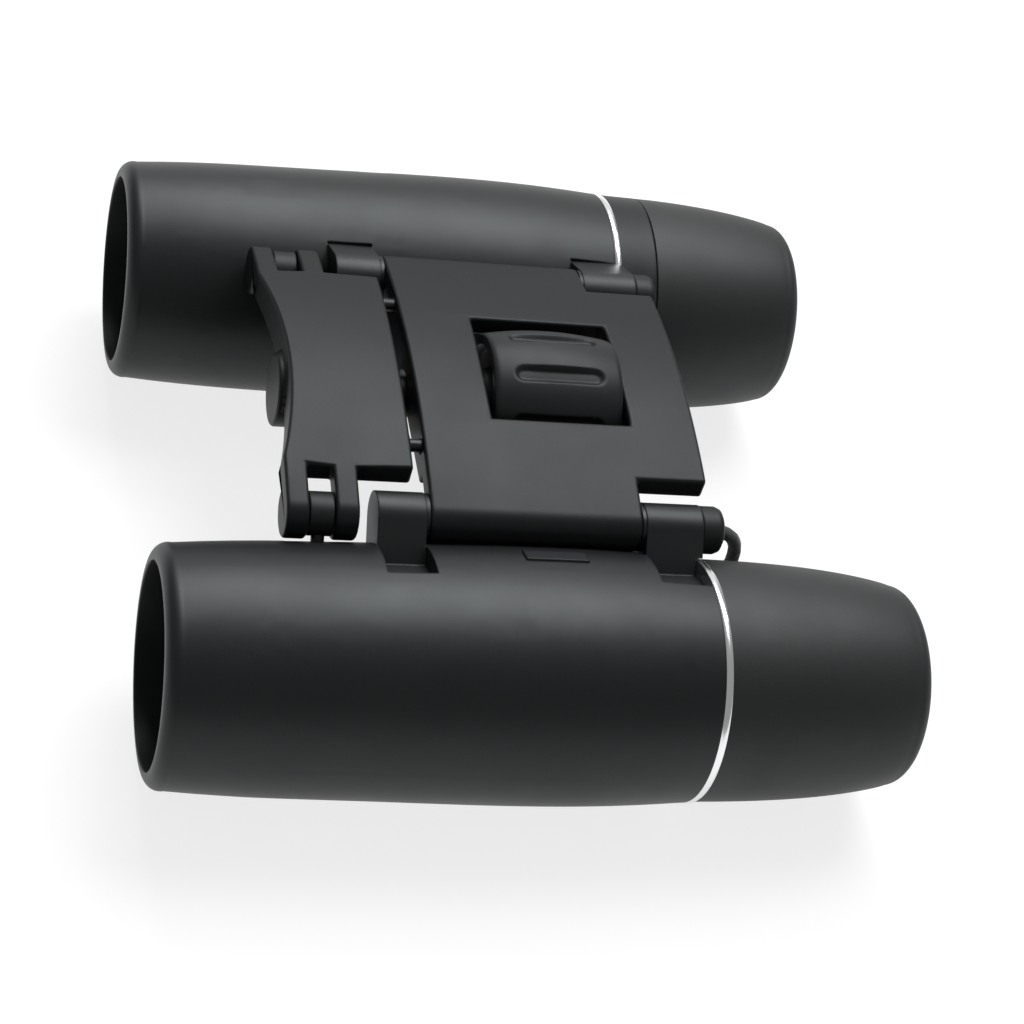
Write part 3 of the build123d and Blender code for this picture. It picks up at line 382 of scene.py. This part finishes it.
def groove_rule():
    """Node tree that sinks evenly spaced finger grooves into a wheel and drills it for its grub screw."""
    rule = bpy.data.node_groups.new("finger_grooves", "GeometryNodeTree")
    new_socket = rule.interface.new_socket
    new_socket("Geometry", in_out="INPUT", socket_type="NodeSocketGeometry")
    for name in ("Grooves", "First groove", "Groove length", "Groove width", "Groove floor radius",
                 "Soft rim", "Wheel radius", "Wheel middle", "Axis height", "Screw hole radius",
                 "Screw hole turn"):
        new_socket(name, in_out="INPUT", socket_type="NodeSocketFloat")
    new_socket("Finish", in_out="INPUT", socket_type="NodeSocketMaterial")
    new_socket("Geometry", in_out="OUTPUT", socket_type="NodeSocketGeometry")
    given = rule.nodes.new("NodeGroupInput").outputs

    def worked(operation, *values):
        made = rule.nodes.new("ShaderNodeMath")
        made.operation = operation
        for socket, value in zip(made.inputs, values):
            if isinstance(value, (int, float)):
                socket.default_value = value
            else:
                rule.links.new(value, socket)
        return made.outputs[0]

    def length_of(one, other):
        return worked("SQRT", worked("ADD", worked("MULTIPLY", one, one), worked("MULTIPLY", other, other)))

    at = rule.nodes.new("ShaderNodeSeparateXYZ")
    rule.links.new(rule.nodes.new("GeometryNodeInputPosition").outputs[0], at.inputs[0])
    x, y, z = at.outputs
    up = worked("SUBTRACT", z, given["Axis height"])
    radius = length_of(x, up)
    turn = worked("SUBTRACT", worked("ARCTAN2", x, up), given["First groove"])
    grooves_on = worked("DIVIDE", worked("MULTIPLY", turn, given["Grooves"]), 2 * pi)
    off_groove = worked("SUBTRACT", grooves_on, worked("ROUND", grooves_on))
    off_length = worked("MULTIPLY", worked("MULTIPLY", off_groove, 2 * pi), given["Wheel radius"])
    aside = worked("DIVIDE", off_length, given["Grooves"])
    straight = worked("MULTIPLY", worked("SUBTRACT", given["Groove length"], given["Groove width"]), 0.5)
    from_middle = worked("ABSOLUTE", worked("SUBTRACT", y, given["Wheel middle"]))
    beyond = worked("MAXIMUM", worked("SUBTRACT", from_middle, straight), 0)
    edge = worked("SUBTRACT", length_of(aside, beyond), worked("MULTIPLY", given["Groove width"], 0.5))
    wall = rule.nodes.new("ShaderNodeMapRange")
    wall.interpolation_type = "SMOOTHSTEP"
    rule.links.new(edge, wall.inputs["Value"])
    rule.links.new(worked("MULTIPLY", given["Soft rim"], SOFT_RIM_OUTSIDE), wall.inputs["From Min"])
    rule.links.new(worked("MULTIPLY", given["Soft rim"], -1), wall.inputs["From Max"])
    on_rim = worked("GREATER_THAN", radius, worked("MULTIPLY", given["Wheel radius"], RIM_FROM))
    sunk = worked("MULTIPLY", worked("MULTIPLY", wall.outputs["Result"], on_rim),
                  worked("SUBTRACT", given["Groove floor radius"], radius))
    pulled_in = worked("DIVIDE", sunk, radius)
    shift = rule.nodes.new("ShaderNodeCombineXYZ")
    rule.links.new(worked("MULTIPLY", x, pulled_in), shift.inputs["X"])
    rule.links.new(worked("MULTIPLY", up, pulled_in), shift.inputs["Z"])
    sink = rule.nodes.new("GeometryNodeSetPosition")
    rule.links.new(given["Geometry"], sink.inputs["Geometry"])
    rule.links.new(shift.outputs[0], sink.inputs["Offset"])

    drill = rule.nodes.new("GeometryNodeMeshCylinder")
    drill.inputs["Vertices"].default_value = DRILL_ROUND
    rule.links.new(given["Screw hole radius"], drill.inputs["Radius"])
    rule.links.new(given["Wheel radius"], drill.inputs["Depth"])
    middle = rule.nodes.new("ShaderNodeCombineXYZ")
    out_to = worked("MULTIPLY", given["Wheel radius"], DRILL_REACH)
    drill_up = worked("MULTIPLY", worked("COSINE", given["Screw hole turn"]), out_to)
    rule.links.new(worked("MULTIPLY", worked("SINE", given["Screw hole turn"]), out_to), middle.inputs["X"])
    rule.links.new(given["Wheel middle"], middle.inputs["Y"])
    rule.links.new(worked("ADD", given["Axis height"], drill_up), middle.inputs["Z"])
    lean = rule.nodes.new("ShaderNodeCombineXYZ")
    rule.links.new(given["Screw hole turn"], lean.inputs["Y"])
    place = rule.nodes.new("GeometryNodeTransform")
    rule.links.new(drill.outputs["Mesh"], place.inputs["Geometry"])
    rule.links.new(middle.outputs[0], place.inputs["Translation"])
    rule.links.new(lean.outputs[0], place.inputs["Rotation"])
    bored = rule.nodes.new("GeometryNodeMeshBoolean")
    bored.operation = "DIFFERENCE"
    rule.links.new(sink.outputs["Geometry"], bored.inputs["Mesh 1"])
    rule.links.new(place.outputs["Geometry"], bored.inputs["Mesh 2"])
    real = rule.nodes.new("GeometryNodeRealizeInstances")
    rule.links.new(bored.outputs["Mesh"], real.inputs["Geometry"])
    coat = rule.nodes.new("GeometryNodeSetMaterial")
    rule.links.new(real.outputs["Geometry"], coat.inputs["Geometry"])
    rule.links.new(given["Finish"], coat.inputs["Material"])
    rule.links.new(coat.outputs["Geometry"], rule.nodes.new("NodeGroupOutput").inputs[0])
    return rule


def grooved_wheel():
    """Plain mesh of the wheel with its grooves."""
    blank = bpy.data.objects.new("focus_wheel_blank", wheel_blank())
    scene.collection.objects.link(blank)
    cut = blank.modifiers.new("grooves", "NODES")
    cut.node_group = groove_rule()
    sizes = {
        "Grooves": 9.0, "First groove": radians(18), "Groove length": 11.3 * MM, "Groove width": 2.15 * MM,
        "Groove floor radius": 8.3 * MM, "Soft rim": 0.5 * MM, "Wheel radius": WHEEL_R * MM,
        "Wheel middle": WHEEL_MIDDLE * MM, "Axis height": WHEEL_Z * MM,
        "Screw hole radius": 1.0 * MM, "Screw hole turn": radians(178), "Finish": black_plastic,
    }
    for socket in cut.node_group.interface.items_tree:
        if socket.in_out == "INPUT" and socket.name in sizes:
            cut[socket.identifier] = sizes[socket.name]
    bpy.context.view_layer.update()
    mesh = as_modified(blank)
    blank.modifiers.remove(cut)
    bpy.data.objects.remove(blank)
    mesh.shade_smooth()
    mesh.set_sharp_from_angle(angle=WHEEL_SHARP_ANGLE)
    return mesh


coated("focus_wheel", black_plastic)
placed("focus_wheel_grip", grooved_wheel(), "focus_wheel_set", "focus_wheel", slot="black_plastic",
       material=black_plastic)
dressed("focus_screw", "steel", blackened_steel)
dressed("focus_nut", "brass", turned_brass)
dressed("shaft_bushes", "brass", turned_brass)
for name in ("shaft_retaining_ring", "wheel_thrust_washer", "wheel_grub_screw"):
    coated(name, turned_steel)

# ---- Barrels ----
# Two light alloy shells, turned in a slow swell and enamelled. The cast lugs at the inner side of each carry
# its hinge, and on the left one a small bar covers the screw that sets the prisms.
barrel_enamel = finish("barrel_enamel", ENAMEL_BLACK, rough=0.46, grain=ENAMEL_GRAIN, bump=ENAMEL_BUMP,
                       specular=0.37, rough_spread=0.02, edge=ENAMEL_EDGE, sheen=COOL_SHEEN)
for side in ("left", "right"):
    dressed(side + "_barrel_shell", "black_paint", barrel_enamel)
dressed("left_adjuster_cover", "black_paint", barrel_enamel)

# ---- Hinges ----
# Steel pins run through bridge and lugs, with blackened washers between them and moulded caps at the rear.
# Both caps are drilled, and the left one takes the strap.
CAP_CORNER = 0.3
dressed("hinge_washers", "steel", blackened_steel)
for side in ("left", "right"):
    dressed(side + "_hinge_pin", "steel", turned_steel)
    dressed(side + "_hinge_cap", "black_plastic", black_plastic, corner=CAP_CORNER)

# ---- Focus links ----
# Small black eyes on the fork pins. Each holds a steel stud that reaches through a slot in the barrel to its
# objective cell, and so takes the cell along with the carriage.
for side in ("left", "right"):
    dressed(side + "_focus_link", "black_anodised", black_plastic)
    dressed(side + "_link_stud", "steel", blackened_steel)

# ---- Trim rings ----
# A thin band of light alloy, turned and polished, shut between each barrel and its eyepiece. The rear lugs
# reach over it.
polished_alloy = finish("polished_alloy", (0.86, 0.87, 0.88), rough=0.2, grain=0.1, bump=0.0006,
                        metallic=1.0, rough_spread=0.03, tint_spread=0.04)
for side in ("left", "right"):
    dressed(side + "_trim_ring", "bright_aluminium", polished_alloy)

# ---- Eyecups ----
# Soft black rubber sleeves with rounded mouths. The left one is pressed on its tube; the right one turns in a
# moulded collar and carries the eyepiece in and out.
soft_rubber = finish("soft_black_rubber", (0.0085, 0.0088, 0.0092), rough=0.56, grain=0.3, bump=0.008,
                     rough_spread=0.03, edge=MOULDED_EDGE, sheen=COOL_SHEEN)
dressed("left_eyecup", "eyecup_rubber", soft_rubber)
dressed("right_dioptre_eyecup", "eyecup_rubber", soft_rubber)
dressed("right_eyepiece_collar", "black_plastic", black_plastic)

# ---- Objectives and eyepieces ----
# Cemented pairs of lenses stand in black cells behind the barrel mouths, each kept in by a ring. An eyepiece
# is two coated lenses in a black tube, with a spacer between them and a retainer.
black_anodised = finish("black_anodised_alloy", (0.016, 0.016, 0.017), rough=0.38, grain=0.15, bump=0.002,
                        metallic=0.3, edge=0.2)
BLOOM_PATCH = 14  # size of the patches in the coating's colour


def glass(name, tint, sheen_tint):
    """Clear coated glass with a faint coloured bloom."""
    material, node, link = new_material(name)
    place = node("ShaderNodeTexCoord")
    drift = node("ShaderNodeTexNoise", Scale=1 / (BLOOM_PATCH * MM), Detail=2.0)
    tones = node("ShaderNodeValToRGB")
    tones.color_ramp.elements[0].color = (*tint, 1)
    tones.color_ramp.elements[1].color = (*sheen_tint, 1)
    clear = node("ShaderNodeBsdfPrincipled", Roughness=0.02, IOR=1.52)
    clear.inputs["Transmission Weight"].default_value = 1.0
    clear.inputs["Coat Weight"].default_value = 0.3
    clear.inputs["Coat Tint"].default_value = (*sheen_tint, 1)
    out = node("ShaderNodeOutputMaterial")
    link(place.outputs["Object"], drift.inputs["Vector"])
    link(drift.outputs["Fac"], tones.inputs["Fac"])
    link(tones.outputs["Color"], clear.inputs["Base Color"])
    link(clear.outputs[0], out.inputs["Surface"])
    return material


lens_glass = glass("coated_lens_glass", tint=(0.86, 0.93, 0.95), sheen_tint=(0.78, 0.72, 0.92))
for side in ("left", "right"):
    for part in ("objective_cell", "objective_ring"):
        dressed(f"{side}_{part}", "black_anodised", black_anodised)
    for part in ("ocular_tube", "lens_spacer", "lens_retainer"):
        coated(f"{side}_{part}", black_anodised)
    for part in ("crown_lens", "eye_lens"):
        dressed(f"{side}_{part}", "lens_glass", lens_glass)
    for part in ("flint_lens", "field_lens"):
        coated(f"{side}_{part}", lens_glass)

# ---- Prisms ----
# A half penta prism and a roof prism of polished glass stand in each barrel. An alloy cage holds them, and a
# steel spring clip presses them in.
prism_glass = glass("prism_glass", tint=(0.9, 0.94, 0.93), sheen_tint=(0.86, 0.9, 0.92))
for side in ("left", "right"):
    coated(side + "_prism_cage", black_anodised)
    coated(side + "_prism_clip", turned_steel)
    for part in ("half_penta_prism", "roof_prism"):
        coated(f"{side}_{part}", prism_glass)

# ---- Wrist strap ----
# A thin braided cord, knotted inside the left hinge cap. It drops behind the barrel to the table, and the
# rest lies folded in a flat tied hank under the bridge, ending in a small knot.
HINGE_X, HINGE_Z = 21.05, 27.95
CORD_R = 0.85
LOW, HIGH = 0.9, 2.6  # centre of the cord in the hank's two layers
OUTER, INNER = 2.55, 1.7  # half widths of the hank's two layers
ROUTE_STEPS = 24  # points read from each span of the route's smooth line
STRAP_ROUTE = [
    (-HINGE_X, -20.85, HINGE_Z), (-HINGE_X, -23.7, HINGE_Z), (-19.2, -26.7, 22.4), (-17.1, -27.0, 13.0),
    (-13.0, -26.3, 1.0), (-6.2, -25.0, LOW), (-OUTER, -20.4, LOW), (-OUTER, -14.0, LOW),
    (-OUTER, 4.05, LOW), (-OUTER, 9.15, LOW), (OUTER, 9.15, LOW), (OUTER, 4.05, LOW),
    (OUTER, -11.0, LOW), (OUTER, -16.15, 1.7), (-INNER, -16.15, HIGH), (-INNER, -11.9, HIGH),
    (-INNER, 4.9, HIGH), (-INNER, 8.3, HIGH), (INNER, 8.3, HIGH), (INNER, 4.9, HIGH), (INNER, -13.5, HIGH),
]


def spline_points(route, steps):
    """Points read from the smooth line that has the route as its control points, in metres."""
    line = bpy.data.curves.new("route", "CURVE")
    line.dimensions = "3D"
    spline = line.splines.new("NURBS")
    spline.points.add(len(route) - 1)
    for point, at in zip(spline.points, route):
        point.co = (*(c * MM for c in at), 1)
    spline.order_u = 3
    spline.use_endpoint_u = True
    spline.resolution_u = steps
    holder = bpy.data.objects.new("route", line)
    scene.collection.objects.link(holder)
    bpy.context.view_layer.update()
    points = [v.co.copy() for v in as_modified(holder).vertices]
    bpy.data.objects.remove(holder)
    return points


def even_points(points, step):
    """The same line with points about a step apart, and its length."""
    lengths = [0.0]
    for a, b in zip(points, points[1:]):
        lengths.append(lengths[-1] + (b - a).length)
    count = ceil(lengths[-1] / step)
    spaced, k = [], 0
    for i in range(count + 1):
        reach = lengths[-1] * i / count
        while k < len(points) - 2 and lengths[k + 1] < reach:
            k += 1
        part = (reach - lengths[k]) / max(lengths[k + 1] - lengths[k], 1e-12)
        spaced.append(points[k].lerp(points[k + 1], min(part, 1)))
    return spaced, lengths[-1]


BRAID_STEP, BRAID_ROUND = 0.16, 28
BRAID_STRANDS, BRAID_LAY = 4, 2.4  # strands each way round, and the length in which each moves on by one
BRAID_DEPTH = 0.06  # depth of the braid, as a share of the cord's radius
YARNS, YARN_LAY = 16, 0.6  # the same for the finer yarns, which the finish shows
CORD_SHARP_ANGLE = radians(80)


def braided(name, points, radius):
    """Braided cord along the points: two sets of strands that cross, as relief on a tube, with a UV map."""
    shape = bmesh.new()
    uv_of = shape.loops.layers.uv.new("around_and_along")
    side = None
    rings = []
    for i, at in enumerate(points):
        ahead = (points[min(i + 1, len(points) - 1)] - points[max(i - 1, 0)]).normalized()
        if side is None:
            side = ahead.orthogonal().normalized()
        side = (side - ahead * side.dot(ahead)).normalized()
        other = ahead.cross(side)
        along = i * BRAID_STEP
        ring = []
        for k in range(BRAID_ROUND):
            turn = 2 * pi * k / BRAID_ROUND
            one = sin(BRAID_STRANDS * turn + 2 * pi * along / BRAID_LAY)
            two = sin(BRAID_STRANDS * turn - 2 * pi * along / BRAID_LAY)
            relief = 0.5 * max(one, two) + 0.25
            r = radius * (1 - BRAID_DEPTH + BRAID_DEPTH * relief)
            ring.append(shape.verts.new(at / MM + (side * cos(turn) + other * sin(turn)) * r))
        rings.append(ring)
    for i, (a, b) in enumerate(zip(rings, rings[1:])):
        for k in range(BRAID_ROUND):
            n = (k + 1) % BRAID_ROUND
            face = shape.faces.new((a[k], a[n], b[n], b[k]))
            for loop, (u, v) in zip(face.loops, ((k, i), (k + 1, i), (k + 1, i + 1), (k, i + 1))):
                loop[uv_of].uv = (u / BRAID_ROUND, v * BRAID_STEP)
    shape.faces.new(rings[0])
    shape.faces.new(rings[-1])
    return from_bmesh(name, shape, CORD_SHARP_ANGLE)


cord_finish, node, link = new_material("braided_cord")
uv = node("ShaderNodeUVMap", uv_map="around_and_along")
split = node("ShaderNodeSeparateXYZ")
weave = []
link(uv.outputs["UV"], split.inputs[0])
for sign in (1, -1):
    around = node("ShaderNodeMath", operation="MULTIPLY")
    around.inputs[1].default_value = YARNS * 2 * pi
    along = node("ShaderNodeMath", operation="MULTIPLY_ADD")
    along.inputs[1].default_value = sign * 2 * pi / YARN_LAY
    wave = node("ShaderNodeMath", operation="SINE")
    link(split.outputs["X"], around.inputs[0])
    link(split.outputs["Y"], along.inputs[0])
    link(around.outputs[0], along.inputs[2])
    link(along.outputs[0], wave.inputs[0])
    weave.append(wave)
yarn = node("ShaderNodeMath", operation="MAXIMUM")
link(weave[0].outputs[0], yarn.inputs[0])
link(weave[1].outputs[0], yarn.inputs[1])
# Painted shade: the ramp colours the gaps between the yarns far darker than the yarns, as the shadow in the
# weave's crevices; the yarns' crests keep the cord's own colour
yarn_and_painted_gap_tones = node("ShaderNodeValToRGB")
gap_painted_shade, yarn_shade = yarn_and_painted_gap_tones.color_ramp.elements
gap_painted_shade.position, gap_painted_shade.color = 0.1, (0.006, 0.0055, 0.005, 1)
yarn_shade.position, yarn_shade.color = 0.9, (0.034, 0.031, 0.028, 1)
fluff = node("ShaderNodeBump", Strength=0.5, Distance=0.04 * MM)
cloth = node("ShaderNodeBsdfPrincipled", Roughness=0.75)
cloth.inputs["Sheen Weight"].default_value = 0.25
cloth.inputs["Sheen Roughness"].default_value = 0.5
out = node("ShaderNodeOutputMaterial")
link(yarn.outputs[0], yarn_and_painted_gap_tones.inputs["Fac"])
link(yarn.outputs[0], fluff.inputs["Height"])
link(yarn_and_painted_gap_tones.outputs["Color"], cloth.inputs["Base Color"])
link(fluff.outputs["Normal"], cloth.inputs["Normal"])
link(cloth.outputs[0], out.inputs["Surface"])

strap_line = spline_points(STRAP_ROUTE, ROUTE_STEPS)
strap_even, strap_length = even_points(strap_line, BRAID_STEP * MM)
strap_cord = placed("strap_cord", braided("strap_cord", strap_even, CORD_R), None, "strap_lead", "strap_hank",
                    slot="strap_cord", material=cord_finish)
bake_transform(strap_cord)


KNOT_R, KNOT_SQUASH = 1.45, (1, 1.15, 0.95)
KNOT_AT = (INNER, -14.2, HIGH - 0.1)
KNOT_TURNS, KNOT_SLANT, KNOT_DEPTH = 3, 3.0, 0.08


def knot(name):
    """Rounded lump with shallow slanting turns of cord round it."""
    shape = bmesh.new()
    bmesh.ops.create_uvsphere(shape, u_segments=40, v_segments=28, radius=KNOT_R)
    for v in shape.verts:
        swell = 1 + KNOT_DEPTH * sin(KNOT_TURNS * atan2(v.co.z, v.co.x) + KNOT_SLANT * v.co.y / KNOT_R)
        v.co = Vector([c * s * swell + a for c, s, a in zip(v.co, KNOT_SQUASH, KNOT_AT)])
    return from_bmesh(name, shape, CORD_SHARP_ANGLE)


end_knot = placed("strap_end_knot", knot("strap_end_knot"), "bridge", slot="strap_cord", material=cord_finish)
strap_tie = dressed("strap_tie", "strap_cord", soft_rubber)
coated("strap_knot", cord_finish)
